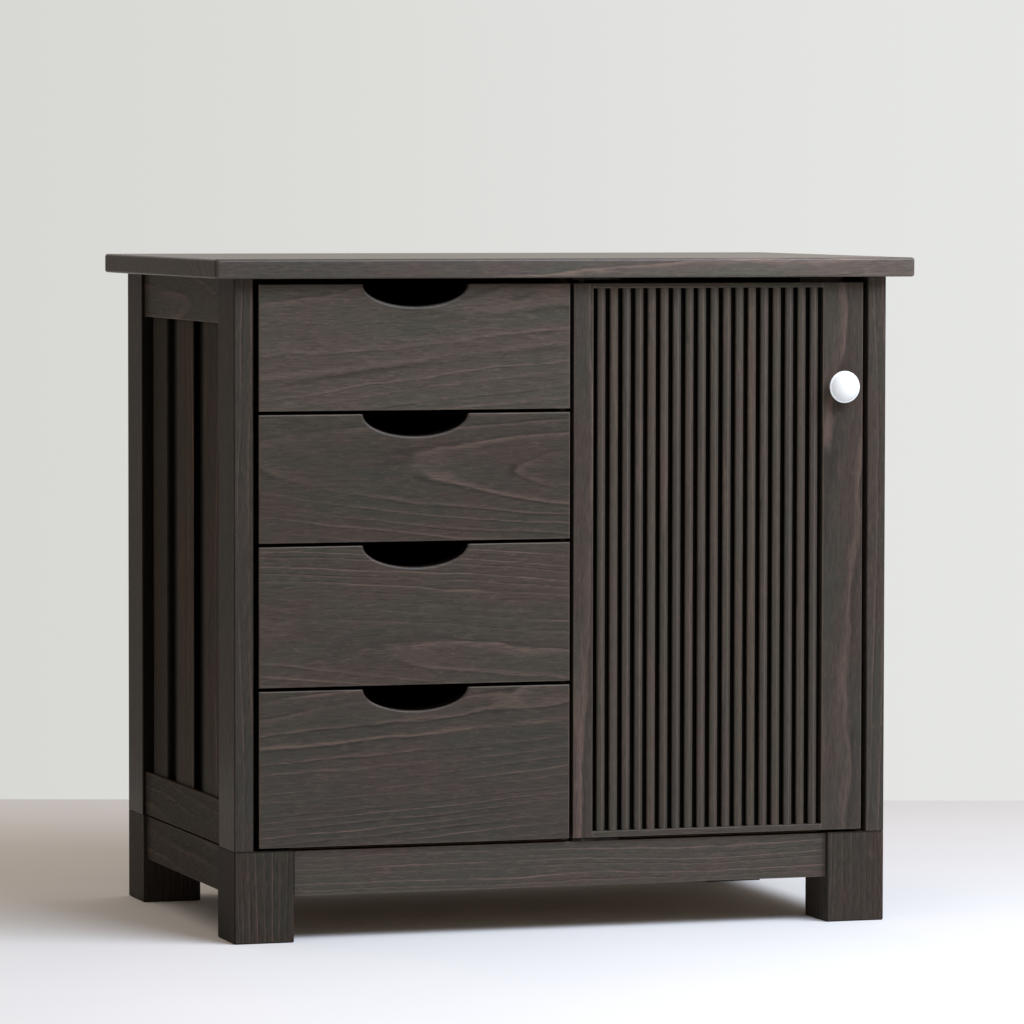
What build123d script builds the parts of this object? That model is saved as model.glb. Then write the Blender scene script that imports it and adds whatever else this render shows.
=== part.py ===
from build123d import *

import math
import os

# Small chest on a footed base: four graduated drawers beside a reeded cupboard door.
# Millimetres, +Z up, front towards -Y. The origin is on the floor, in the middle of the
# overall box, so that the left and right halves mirror each other about X = 0.

# ---------------------------------------------------------------- driving sizes
# overall
body_width = 600.0
body_depth = 374.0
base_height = 80.0
body_height = 495.0
top_thickness = 17.0
top_side_overhang = 21.0
top_front_overhang = 18.0
top_back_overhang = 4.0

# footed base
foot_width = 53.5
foot_depth = 56.0
base_rail_height = 40.0
base_rail_thickness = 20.0
base_rail_drop = 0.75
front_rail_recess = 5.5
bottom_panel_thickness = 12.0
bottom_panel_lap = 8.0

# side frames
post_thickness = 17.2
post_depth = 52.0
frame_recess = 3.0
frame_rail_height = 39.5
rail_shadow_gap = 0.75
board_face_depth = 6.5
board_thickness = 6.0
board_width = 63.0
board_gap = 30.5
board_end_gap = 17.5
board_lap = 8.0

# back
back_rail_thickness = 12.0
back_panel_thickness = 5.0

# inside
partition_thickness = 15.0
partition_recess = 24.0
shelf_thickness = 12.0
shelf_rise = 240.0
shelf_recess = 30.0
shelf_clearance = 0.5
cleat_size = 16.0
cleat_inset = 60.0

# drawers and their runners
drawer_front_width = 282.2
drawer_front_thickness = 17.0
bottom_drawer_height = 136.0
third_drawer_height = 122.0
second_drawer_height = 111.0
drawer_left_gap = 5.0
drawer_gap = 3.0
bottom_gap = 2.5
top_gap = 5.0
pull_width = 94.0
pull_depth = 19.0
pull_rounding = 3.0
drawer_wall = 10.0
drawer_side_clearance = 1.8
drawer_foot_rise = 10.0
drawer_side_drop = 14.0
drawer_bottom_thickness = 4.0
drawer_bottom_rise = 6.0
groove_depth = 5.0
groove_clearance = 0.1
runner_width = 12.0
runner_height = 10.0
runner_clearance = 0.3
stop_length = 6.0
stop_height = 8.0

# door
meeting_gap = 3.5
door_right_gap = 4.4
door_frame_thickness = 14.0
door_backing_thickness = 4.0
left_stile_width = 18.0
right_stile_width = 38.0
top_lip_height = 4.5
bottom_lip_height = 5.8
reed_count = 18
reed_width = 7.6
reed_recess = 1.0
reed_web_thickness = 6.5
reed_crown = 1.0
reed_rounding = 1.6

# knob and its screw
knob_radius = 14.25
knob_projection = 20.0
knob_rim_height = 12.0
knob_rim_thickness = 2.4
knob_base_radius = 8.0
knob_base_height = 1.6
knob_neck_radius = 6.0
knob_neck_height = 5.0
knob_inset = 22.0
knob_rise = 395.0
knob_screw_radius = 2.0
knob_screw_depth = 10.0
screw_head_radius = 4.0
screw_head_height = 2.4

# pivots of the door
pivot_inset = 9.0
pivot_depth = 8.0
pivot_radius = 2.0
pivot_clearance = 0.05
pivot_length = 9.0
pivot_collar_radius = 4.0
pivot_plate_length = 44.0
pivot_plate_thickness = 2.0
pivot_seat_gap = 0.3

# magnetic catch
catch_length = 40.0
catch_height = 18.0
catch_depth = 14.0
catch_gap = 0.3
catch_inset = 33.0
strike_height = 12.0
strike_thickness = 1.5
strike_drop = 1.0

# fixings
dowel_radius = 4.0
dowel_length = 36.0
pin_radius = 2.5
pin_reach = 8.0
pin_inset = 16.0
top_screw_radius = 2.0
top_screw_length = 28.0
top_screw_count = 3
top_screw_inset = 30.0
back_screw_radius = 1.5
back_screw_length = 8.0
back_screw_head_radius = 3.0
back_screw_head_height = 1.2
back_screw_bore_depth = 1.4
back_screws_per_bay = 3
back_screw_inset = 20.0
hole_clearance = 0.1
hole_spare_depth = 1.0

# softened edges
top_corner_rounding = 4.0
top_rounding = 2.5
foot_rounding = 1.5
post_rounding = 1.0
rail_rounding = 0.8
front_rounding = 1.2
board_rounding = 0.6

# ---------------------------------------------------------------- places worked out
body_left = -body_width / 2
body_right = body_width / 2
front_reach = max(top_front_overhang, knob_projection)
body_front = (front_reach - body_depth - top_back_overhang) / 2
body_back = body_front + body_depth
base_top = base_height
body_top = base_top + body_height
top_face = body_top + top_thickness

inner_left = body_left + post_thickness
inner_right = body_right - post_thickness
base_rail_bottom = base_top - base_rail_height
base_rail_top = base_top - base_rail_drop
back_inside = body_back - frame_recess - back_rail_thickness
back_panel_face = body_back - frame_recess - back_panel_thickness

upper_rail_bottom = body_top - frame_rail_height
lower_rail_bottom = base_top + rail_shadow_gap
lower_rail_top = base_top + frame_rail_height
boards_bottom = lower_rail_top - board_lap
boards_top = upper_rail_bottom + board_lap

drawer_front_left = body_left + post_thickness + drawer_left_gap
drawer_front_right = drawer_front_left + drawer_front_width
door_left = drawer_front_right + meeting_gap
door_right = body_right - post_thickness - door_right_gap
door_bottom = base_top + bottom_gap
door_top = body_top - top_gap
door_back = body_front + door_frame_thickness + door_backing_thickness
partition_left = (drawer_front_right + door_left - partition_thickness) / 2
partition_right = partition_left + partition_thickness
partition_middle = (partition_left + partition_right) / 2
partition_front = body_front + partition_recess

drawer_box_left = inner_left + drawer_side_clearance
drawer_box_right = partition_left - drawer_side_clearance
drawer_box_front = body_front + drawer_front_thickness
drawer_box_back = back_inside - stop_length - runner_clearance
lower_drawer_heights = [second_drawer_height, third_drawer_height, bottom_drawer_height]
top_drawer_height = (
    door_top - door_bottom - sum(lower_drawer_heights) - len(lower_drawer_heights) * drawer_gap
)
drawer_heights = [top_drawer_height, *lower_drawer_heights]

shelf_bottom = base_top + shelf_rise
shelf_front = body_front + shelf_recess
field_left = door_left + left_stile_width
field_right = door_right - right_stile_width
field_bottom = door_bottom + bottom_lip_height
field_top = door_top - top_lip_height
reed_gap = (field_right - field_left - reed_count * reed_width) / (reed_count + 1)
pivot_x = door_left + pivot_inset
pivot_y = body_front + pivot_depth
knob_x = door_right - knob_inset
knob_z = door_bottom + knob_rise
catch_x = door_right - catch_inset
catch_front = door_back + strike_thickness + catch_gap


# ---------------------------------------------------------------- helpers
def block(x, y, z, mode=Mode.ADD):
    """Add or cut a rectangular block that fills the spans x, y and z, each (low, high)."""
    with Locations([((x[0] + x[1]) / 2, (y[0] + y[1]) / 2, (z[0] + z[1]) / 2)]):
        Box(x[1] - x[0], y[1] - y[0], z[1] - z[0], mode=mode)


def write(builder, name):
    """Label a finished piece and write it to its own file."""
    builder.part.label = name
    export_step(builder.part, f"parts/{name}.step")


def mirrored(low, high):
    """The same span on the other side of X = 0."""
    return (-high, -low)


def spaced(low, high, count):
    """Evenly spaced places from low to high, both ends included."""
    return [low + (high - low) * i / (count - 1) for i in range(count)]


os.makedirs("parts", exist_ok=True)

# ---------------------------------------------------------------- fixings' places
foot_centres_x = [body_left + post_thickness / 2, body_right - post_thickness / 2]
foot_centres_y = [body_front + post_depth / 2, body_back - post_depth / 2]
dowel_places = [(x, y) for x in foot_centres_x for y in foot_centres_y]
top_screw_spans = spaced(
    body_front + cleat_inset + top_screw_inset, body_back - cleat_inset - top_screw_inset, top_screw_count
)
top_screw_places = [
    (x, y)
    for x in (inner_left + cleat_size / 2, inner_right - cleat_size / 2)
    for y in top_screw_spans
]
back_screw_columns = [
    *spaced(inner_left + back_screw_inset, partition_middle, back_screws_per_bay),
    *spaced(partition_middle, inner_right - back_screw_inset, back_screws_per_bay)[1:],
]
back_screw_places = [
    (x, z) for x in back_screw_columns for z in (boards_bottom + board_lap / 2, boards_top - board_lap / 2)
]
pin_rows_y = [shelf_front + pin_inset, back_inside - pin_inset - shelf_clearance]
pin_z = shelf_bottom - pin_radius
pin_places = [(x, y) for x in (partition_right, inner_right) for y in pin_rows_y]

# ---------------------------------------------------------------- base: feet
foot_spans_x = {
    "left": (body_left, body_left + foot_width),
    "right": (body_right - foot_width, body_right),
}
foot_spans_y = {
    "front": (body_front, body_front + foot_depth),
    "back": (body_back - foot_depth, body_back),
}
for end, span_y in foot_spans_y.items():
    for side, span_x in foot_spans_x.items():
        with BuildPart() as foot:
            block(span_x, span_y, (0, base_top))
            fillet(foot.edges().group_by(Axis.Z)[0], foot_rounding)
            fillet(foot.edges().filter_by(Axis.Z), post_rounding)
            chamfer(foot.faces().sort_by(Axis.Z)[-1].edges(), rail_rounding / 2)
            with Locations([(x, y, base_top) for x, y in dowel_places]):
                Hole(dowel_radius + hole_clearance, dowel_length / 2 + hole_spare_depth)
        write(foot, f"foot_{end}_{side}")

# ---------------------------------------------------------------- base: rails
# Each rail is rebated along its inner top edge, where the bottom panel lies.
rail_front_y = body_front + front_rail_recess
rail_back_y = body_back - frame_recess
rail_left_x = body_left + frame_recess
panel_bottom = base_top - bottom_panel_thickness
between_feet_x = (body_left + foot_width, body_right - foot_width)
between_feet_y = (body_front + foot_depth, body_back - foot_depth)
rail_z = (base_rail_bottom, base_rail_top)
rebate_z = (panel_bottom, base_rail_top)
panel_front = rail_front_y + base_rail_thickness - bottom_panel_lap
panel_back = rail_back_y - base_rail_thickness + bottom_panel_lap
panel_left = rail_left_x + base_rail_thickness - bottom_panel_lap

with BuildPart() as base_rail_front:
    block(between_feet_x, (rail_front_y, rail_front_y + base_rail_thickness), rail_z)
    fillet(base_rail_front.faces().sort_by(Axis.Y)[0].edges().filter_by(Axis.X), rail_rounding)
    block(between_feet_x, (panel_front, panel_front + bottom_panel_lap), rebate_z, Mode.SUBTRACT)
write(base_rail_front, "base_rail_front")

with BuildPart() as base_rail_back:
    block(between_feet_x, (rail_back_y - base_rail_thickness, rail_back_y), rail_z)
    fillet(base_rail_back.faces().sort_by(Axis.Y)[-1].edges().filter_by(Axis.X), rail_rounding)
    block(between_feet_x, (panel_back - bottom_panel_lap, panel_back), rebate_z, Mode.SUBTRACT)
write(base_rail_back, "base_rail_back")

rail_x = (rail_left_x, rail_left_x + base_rail_thickness)
rebate_x = (panel_left, panel_left + bottom_panel_lap)
for side, span, cut, outer in (
    ("left", rail_x, rebate_x, 0),
    ("right", mirrored(*rail_x), mirrored(*rebate_x), -1),
):
    with BuildPart() as base_rail:
        block(span, between_feet_y, rail_z)
        fillet(base_rail.faces().sort_by(Axis.X)[outer].edges().filter_by(Axis.Y), rail_rounding)
        block(cut, between_feet_y, rebate_z, Mode.SUBTRACT)
    write(base_rail, f"base_rail_{side}")

# ---------------------------------------------------------------- base: bottom panel
with BuildPart() as bottom_panel:
    block((panel_left, -panel_left), (panel_front, panel_back), (panel_bottom, base_top))
    for span_x in foot_spans_x.values():
        for span_y in foot_spans_y.values():
            block(span_x, span_y, (panel_bottom, base_top), Mode.SUBTRACT)
write(bottom_panel, "bottom_panel")

with BuildPart() as corner_dowels:
    with Locations([(x, y, base_top) for x, y in dowel_places]):
        Cylinder(dowel_radius, dowel_length)
write(corner_dowels, "corner_dowels")

# ---------------------------------------------------------------- body: posts
post_spans_x = {"left": (body_left, inner_left), "right": (inner_right, body_right)}
post_spans_y = {
    "front": (body_front, body_front + post_depth),
    "back": (body_back - post_depth, body_back),
}
for end, span_y in post_spans_y.items():
    for side, span_x in post_spans_x.items():
        with BuildPart() as post:
            block(span_x, span_y, (base_top, body_top))
            fillet(post.edges().filter_by(Axis.Z), post_rounding)
            chamfer(post.faces().sort_by(Axis.Z)[0].edges(), rail_rounding / 2)
            with Locations([(x, y, base_top - dowel_length / 2) for x, y in dowel_places]):
                Cylinder(
                    dowel_radius + hole_clearance,
                    dowel_length + hole_spare_depth,
                    align=(Align.CENTER, Align.CENTER, Align.MIN),
                    mode=Mode.SUBTRACT,
                )
            with Locations([(x, y, pin_z) for x, y in pin_places]):
                Cylinder(
                    pin_radius + hole_clearance,
                    2 * (pin_reach + hole_spare_depth),
                    rotation=(0, 90, 0),
                    mode=Mode.SUBTRACT,
                )
        write(post, f"post_{end}_{side}")

# ---------------------------------------------------------------- body: side frames
# The rails are rebated behind a lip, where the ends of the boards and the liner lap them.
between_posts_y = (body_front + post_depth, body_back - post_depth)
frame_rail_x = (body_left + frame_recess, inner_left)
lip_back_x = body_left + board_face_depth
board_back_x = lip_back_x + board_thickness
first_board = between_posts_y[0] + board_end_gap
second_board = first_board + board_width + board_gap
third_board = second_board + board_width + board_gap
board_spans_y = [
    (first_board, first_board + board_width),
    (second_board, second_board + board_width),
    (third_board, between_posts_y[1] - board_end_gap),
]
for side, outer in (("left", 0), ("right", -1)):
    flip = (lambda span: span) if side == "left" else (lambda span: mirrored(*span))
    for level, rail_span, lap_span in (
        ("upper", (upper_rail_bottom, body_top), (upper_rail_bottom, boards_top)),
        ("lower", (lower_rail_bottom, lower_rail_top), (boards_bottom, lower_rail_top)),
    ):
        with BuildPart() as side_rail:
            block(flip(frame_rail_x), between_posts_y, rail_span)
            fillet(side_rail.faces().sort_by(Axis.X)[outer].edges().filter_by(Axis.Y), rail_rounding)
            block(flip((lip_back_x, inner_left)), between_posts_y, lap_span, Mode.SUBTRACT)
        write(side_rail, f"side_rail_{level}_{side}")

    with BuildPart() as side_boards:
        for span_y in board_spans_y:
            block(flip((lip_back_x, board_back_x)), span_y, (boards_bottom, boards_top))
        board_faces = side_boards.faces().group_by(Axis.X)[outer]
        fillet(board_faces.edges().filter_by(Axis.Z), board_rounding)
    write(side_boards, f"side_boards_{side}")

    with BuildPart() as side_liner:
        block(flip((board_back_x, inner_left)), between_posts_y, (boards_bottom, boards_top))
    write(side_liner, f"side_liner_{side}")

# ---------------------------------------------------------------- body: back
back_rail_y = (back_inside, body_back - frame_recess)
# The panel's screws stand in flat-bottomed bores, with their heads just under its face.
back_panel_y = (back_panel_face, body_back - frame_recess)
back_screw_seat = body_back - frame_recess - back_screw_bore_depth
back_screw_tip = back_screw_seat - back_screw_length
for level, rail_span, lap_span in (
    ("upper", (upper_rail_bottom, body_top), (upper_rail_bottom, boards_top)),
    ("lower", (lower_rail_bottom, lower_rail_top), (boards_bottom, lower_rail_top)),
):
    with BuildPart() as back_rail:
        block((inner_left, inner_right), back_rail_y, rail_span)
        fillet(back_rail.faces().sort_by(Axis.Y)[-1].edges().filter_by(Axis.X), rail_rounding)
        block((inner_left, inner_right), back_panel_y, lap_span, Mode.SUBTRACT)
        with Locations([(x, back_panel_face, z) for x, z in back_screw_places]):
            Cylinder(
                back_screw_radius + hole_clearance,
                2 * (back_panel_face - back_screw_tip + hole_spare_depth),
                rotation=(90, 0, 0),
                mode=Mode.SUBTRACT,
            )
    write(back_rail, f"back_rail_{level}")

with BuildPart() as back_panel:
    block((inner_left, inner_right), back_panel_y, (boards_bottom, boards_top))
    with Locations([(x, body_back - frame_recess, z) for x, z in back_screw_places]):
        Cylinder(
            back_screw_radius + hole_clearance,
            4 * back_panel_thickness,
            rotation=(90, 0, 0),
            mode=Mode.SUBTRACT,
        )
        Cylinder(
            back_screw_head_radius + hole_clearance,
            2 * back_screw_bore_depth,
            rotation=(90, 0, 0),
            mode=Mode.SUBTRACT,
        )
write(back_panel, "back_panel")

with BuildPart() as back_screws:
    for x, z in back_screw_places:
        with BuildSketch(Plane((x, back_screw_seat, z), z_dir=(0, 1, 0))):
            Circle(back_screw_head_radius)
        extrude(amount=back_screw_head_height)
        with BuildSketch(Plane((x, back_screw_seat, z), z_dir=(0, 1, 0))):
            Circle(back_screw_radius)
        extrude(amount=-back_screw_length)
    fillet(back_screws.faces().group_by(Axis.Y)[-1].edges(), back_screw_head_height / 2)
write(back_screws, "back_screws")

# ---------------------------------------------------------------- body: partition and shelf
with BuildPart() as partition:
    block((partition_left, partition_right), (partition_front, back_panel_face), (base_top, body_top))
    block(
        (partition_left, partition_right), (back_inside, back_panel_face),
        (base_top, boards_bottom + board_lap), Mode.SUBTRACT,
    )
    block(
        (partition_left, partition_right), (back_inside, back_panel_face),
        (boards_top - board_lap, body_top), Mode.SUBTRACT,
    )
    with Locations([(x, y, pin_z) for x, y in pin_places]):
        Cylinder(
            pin_radius + hole_clearance,
            2 * (pin_reach + hole_spare_depth),
            rotation=(0, 90, 0),
            mode=Mode.SUBTRACT,
        )
write(partition, "partition")

with BuildPart() as shelf:
    block(
        (partition_right + shelf_clearance, inner_right - shelf_clearance),
        (shelf_front, back_inside - shelf_clearance),
        (shelf_bottom, shelf_bottom + shelf_thickness),
    )
    fillet(shelf.faces().sort_by(Axis.Y)[0].edges().filter_by(Axis.X), rail_rounding)
write(shelf, "shelf")

with BuildPart() as shelf_pins:
    with Locations([(x, y, pin_z) for x, y in pin_places]):
        Cylinder(pin_radius, 2 * pin_reach, rotation=(0, 90, 0))
write(shelf_pins, "shelf_pins")

# ---------------------------------------------------------------- body: top and its cleats
with BuildPart() as top_board:
    block(
        (body_left - top_side_overhang, body_right + top_side_overhang),
        (body_front - top_front_overhang, body_back + top_back_overhang),
        (body_top, top_face),
    )
    fillet(top_board.edges().filter_by(Axis.Z), top_corner_rounding)
    fillet(top_board.faces().sort_by(Axis.Z)[-1].edges(), top_rounding)
    fillet(top_board.faces().sort_by(Axis.Z)[0].edges(), top_rounding)
    with Locations([(x, y, body_top) for x, y in top_screw_places]):
        Cylinder(
            top_screw_radius + hole_clearance,
            2 * (top_screw_length - cleat_size + hole_spare_depth),
            mode=Mode.SUBTRACT,
        )
write(top_board, "top_board")

cleat_bottom = body_top - cleat_size
cleat_y = (body_front + cleat_inset, body_back - cleat_inset)
with BuildPart() as top_cleats:
    block((inner_left, inner_left + cleat_size), cleat_y, (cleat_bottom, body_top))
    block((inner_right - cleat_size, inner_right), cleat_y, (cleat_bottom, body_top))
    with Locations([(x, y, body_top) for x, y in top_screw_places]):
        Cylinder(top_screw_radius + hole_clearance, 4 * cleat_size, mode=Mode.SUBTRACT)
write(top_cleats, "top_cleats")

with BuildPart() as top_screws:
    for x, y in top_screw_places:
        with BuildSketch(Plane.XY.offset(cleat_bottom)):
            with Locations((x, y)):
                Circle(top_screw_radius)
        extrude(amount=top_screw_length)
        with BuildSketch(Plane.XY.offset(cleat_bottom)):
            with Locations((x, y)):
                Circle(screw_head_radius)
        extrude(amount=-screw_head_height)
    fillet(top_screws.faces().group_by(Axis.Z)[0].edges(), screw_head_height / 2)
write(top_screws, "top_screws")

# ---------------------------------------------------------------- body: drawer runners
# A runner is a strip with a raised stop at its back end, which the drawer's side meets.
drawer_tops = []
level = door_top
for height in drawer_heights:
    drawer_tops.append(level)
    level -= height + drawer_gap

with BuildPart() as drawer_runners:
    for height, top in zip(drawer_heights, drawer_tops):
        runner_top = top - height + drawer_foot_rise - runner_clearance
        for span in (
            (inner_left, inner_left + runner_width),
            (partition_left - runner_width, partition_left),
        ):
            block(span, (partition_front, back_inside), (runner_top - runner_height, runner_top))
            block(span, (back_inside - stop_length, back_inside), (runner_top, runner_top + stop_height))
write(drawer_runners, "drawer_runners")

# ---------------------------------------------------------------- drawers
drawer_middle = (drawer_front_left + drawer_front_right) / 2
inside_left = drawer_box_left + drawer_wall
inside_right = drawer_box_right - drawer_wall
for number, (height, top) in enumerate(zip(drawer_heights, drawer_tops), start=1):
    bottom = top - height
    side_bottom = bottom + drawer_foot_rise
    side_top = top - drawer_side_drop
    groove_z = (
        side_bottom + drawer_bottom_rise,
        side_bottom + drawer_bottom_rise + drawer_bottom_thickness + 2 * groove_clearance,
    )
    groove_x = (inside_left - groove_depth, inside_right + groove_depth)

    with BuildPart() as drawer_front:
        block((drawer_front_left, drawer_front_right), (body_front, drawer_box_front), (bottom, top))
        with BuildSketch(Plane.XZ.offset(-body_front)) as pull:
            with Locations((drawer_middle, top)):
                Ellipse(pull_width / 2, pull_depth)
        extrude(amount=-drawer_front_thickness, mode=Mode.SUBTRACT)
        fillet(drawer_front.edges().filter_by(GeomType.ELLIPSE).sort_by(Axis.Y)[0], pull_rounding)
        face_edges = drawer_front.faces().sort_by(Axis.Y)[0].edges()
        fillet(face_edges.filter_by(GeomType.LINE), front_rounding)
        block(groove_x, (drawer_box_front - groove_depth, drawer_box_front), groove_z, Mode.SUBTRACT)
    write(drawer_front, f"drawer_{number}_front")

    with BuildPart() as drawer_sides:
        box_y = (drawer_box_front, drawer_box_back)
        for span in ((drawer_box_left, inside_left), (inside_right, drawer_box_right)):
            block(span, box_y, (side_bottom, side_top))
        side_edges = drawer_sides.faces().group_by(Axis.Z)[-1].edges()
        fillet(side_edges.filter_by(Axis.Y), rail_rounding)
        block(groove_x, box_y, groove_z, Mode.SUBTRACT)
    write(drawer_sides, f"drawer_{number}_sides")

    with BuildPart() as drawer_back:
        block(
            (inside_left, inside_right),
            (drawer_box_back - drawer_wall, drawer_box_back),
            (groove_z[1], side_top),
        )
    write(drawer_back, f"drawer_{number}_back")

    with BuildPart() as drawer_bottom:
        block(
            (groove_x[0] + groove_clearance, groove_x[1] - groove_clearance),
            (drawer_box_front - groove_depth + groove_clearance, drawer_box_back),
            (groove_z[0] + groove_clearance, groove_z[1] - groove_clearance),
        )
    write(drawer_bottom, f"drawer_{number}_bottom")

# ---------------------------------------------------------------- door: frame
frame_y = (body_front, body_front + door_frame_thickness)
bore_length = pivot_length + hole_spare_depth
with BuildPart() as door_left_stile:
    block((door_left, field_left), frame_y, (door_bottom, door_top))
    fillet(door_left_stile.faces().sort_by(Axis.Y)[0].edges(), front_rounding)
    for level in (door_bottom, door_top):
        with BuildSketch(Plane.XY.offset(level)):
            with Locations((pivot_x, pivot_y)):
                Circle(pivot_radius + pivot_clearance)
        extrude(amount=bore_length, both=True, mode=Mode.SUBTRACT)
write(door_left_stile, "door_left_stile")

with BuildPart() as door_right_stile:
    block((field_right, door_right), frame_y, (door_bottom, door_top))
    fillet(door_right_stile.faces().sort_by(Axis.Y)[0].edges(), front_rounding)
    with BuildSketch(Plane.XZ.offset(-body_front)):
        with Locations((knob_x, knob_z)):
            Circle(knob_screw_radius + hole_clearance)
    extrude(amount=-door_frame_thickness, mode=Mode.SUBTRACT)
write(door_right_stile, "door_right_stile")

with BuildPart() as door_edge_strips:
    for span in ((door_bottom, field_bottom), (field_top, door_top)):
        block((field_left, field_right), frame_y, span)
    fillet(door_edge_strips.faces().group_by(Axis.Y)[0].edges().filter_by(Axis.X), front_rounding)
write(door_edge_strips, "door_edge_strips")

with BuildPart() as door_backing:
    block((door_left, door_right), (frame_y[1], door_back), (door_bottom, door_top))
    with BuildSketch(Plane.XZ.offset(-door_back)):
        with Locations((knob_x, knob_z)):
            Circle(knob_screw_radius + hole_clearance)
    extrude(amount=door_backing_thickness, mode=Mode.SUBTRACT)
write(door_backing, "door_backing")

# ---------------------------------------------------------------- door: reeded panel
# Upright reeds with a slightly crowned face stand on a flat web.
reed_front = body_front + reed_recess
web_front = frame_y[1] - reed_web_thickness
reed_pitch = reed_width + reed_gap
reed_places = [field_left + reed_gap + reed_width / 2 + i * reed_pitch for i in range(reed_count)]
reed_shoulder = reed_front + reed_crown - web_front
left_shoulder = (-reed_width / 2, reed_shoulder)
right_shoulder = (reed_width / 2, reed_shoulder)
with BuildPart() as reeded_panel:
    block((field_left, field_right), (web_front, frame_y[1]), (field_bottom, field_top))
    with BuildSketch(Plane.XY.offset(field_bottom)):
        with Locations([(x, web_front) for x in reed_places]):
            with BuildSketch(mode=Mode.PRIVATE) as reed:
                with BuildLine():
                    Polyline(left_shoulder, (-reed_width / 2, 0), (reed_width / 2, 0), right_shoulder)
                    ThreePointArc(right_shoulder, (0, reed_front - web_front), left_shoulder)
                make_face()
                fillet(reed.vertices().group_by(Axis.Y)[0], reed_rounding)
            add(reed.sketch)
    extrude(amount=field_top - field_bottom)
write(reeded_panel, "door_reeded_panel")

# ---------------------------------------------------------------- door: knob and screw
# The knob's section is drawn as radius against distance in front of the door.
knob_axis = Axis((knob_x, body_front, knob_z), (0, -1, 0))
knob_section = Plane((knob_x, body_front, knob_z), x_dir=(1, 0, 0), z_dir=(0, 0, 1))
rim_back = knob_rim_height - knob_rim_thickness / 2
rim_front = knob_rim_height + knob_rim_thickness / 2
rim_shoulder = knob_radius - knob_rim_thickness / 2
dome_height = knob_projection - rim_front
dome_radius = (rim_shoulder**2 + dome_height**2) / (2 * dome_height)
dome_half_angle = math.asin(rim_shoulder / dome_radius) / 2
dome_middle = (
    dome_radius * math.sin(dome_half_angle),
    dome_radius * (1 - math.cos(dome_half_angle)) - knob_projection,
)
with BuildPart() as door_knob:
    with BuildSketch(knob_section):
        with BuildLine():
            Polyline((0, 0), (knob_base_radius, 0), (knob_base_radius, -knob_base_height))
            ThreePointArc(
                (knob_base_radius, -knob_base_height),
                (knob_neck_radius, -knob_neck_height),
                (rim_shoulder, -rim_back),
            )
            ThreePointArc(
                (rim_shoulder, -rim_back),
                (knob_radius, -knob_rim_height),
                (rim_shoulder, -rim_front),
            )
            ThreePointArc((rim_shoulder, -rim_front), dome_middle, (0, -knob_projection))
            Line((0, -knob_projection), (0, 0))
        make_face()
    revolve(axis=knob_axis)
    with BuildSketch(Plane.XZ.offset(-body_front)):
        with Locations((knob_x, knob_z)):
            Circle(knob_screw_radius + hole_clearance)
    extrude(amount=knob_screw_depth + hole_spare_depth, mode=Mode.SUBTRACT)
write(door_knob, "door_knob")

with BuildPart() as knob_screw:
    with BuildSketch(Plane.XZ.offset(-door_back)):
        with Locations((knob_x, knob_z)):
            Circle(knob_screw_radius)
    extrude(amount=door_back - body_front + knob_screw_depth)
    with BuildSketch(Plane.XZ.offset(-door_back)):
        with Locations((knob_x, knob_z)):
            Circle(screw_head_radius)
    extrude(amount=-screw_head_height)
    fillet(knob_screw.faces().sort_by(Axis.Y)[-1].edges(), screw_head_height / 2)
write(knob_screw, "knob_screw")

# ---------------------------------------------------------------- door: pivots
# Each pivot is a plate with a collar and a pin, turned towards the door.
with BuildPart() as door_pivots:
    for plate_face, way, seat in ((base_rail_top, 1, door_bottom), (body_top, -1, door_top)):
        plate_end = plate_face + way * pivot_plate_thickness
        plate_z = (min(plate_face, plate_end), max(plate_face, plate_end))
        plate_y = (rail_front_y, panel_front)
        block((pivot_x - pivot_inset, pivot_x - pivot_inset + pivot_plate_length), plate_y, plate_z)
        with BuildSketch(Plane.XY.offset(plate_face)):
            with Locations((pivot_x, pivot_y)):
                Circle(pivot_collar_radius)
        extrude(amount=seat - way * pivot_seat_gap - plate_face)
        with BuildSketch(Plane.XY.offset(plate_face)):
            with Locations((pivot_x, pivot_y)):
                Circle(pivot_radius)
        extrude(amount=seat + way * pivot_length - plate_face)
write(door_pivots, "door_pivots")

# ---------------------------------------------------------------- magnetic catch
catch_x_span = (catch_x - catch_length / 2, catch_x + catch_length / 2)
strike_top = door_top - strike_drop
with BuildPart() as magnetic_catch:
    block(catch_x_span, (catch_front, catch_front + catch_depth), (body_top - catch_height, body_top))
    fillet(magnetic_catch.faces().sort_by(Axis.Z)[0].edges(), rail_rounding)
write(magnetic_catch, "magnetic_catch")

with BuildPart() as strike_plate:
    block(catch_x_span, (door_back, door_back + strike_thickness), (strike_top - strike_height, strike_top))
write(strike_plate, "strike_plate")
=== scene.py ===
"""Small chest with four drawers beside a reeded cupboard door: its finishes, studio and camera.

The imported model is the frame. Every wooden part keeps its solid and gets its own board of stained
wood, with the grain along the part, and the round knob and the screw heads are surfaces worked out
here. Lengths are metres, +Z is up and the front faces -Y.
"""

import logging
import math
from dataclasses import dataclass, replace
from enum import Enum
from typing import Any, Sequence

import bmesh
import bpy
import numpy as np
from mathutils import Matrix, Vector


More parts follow.
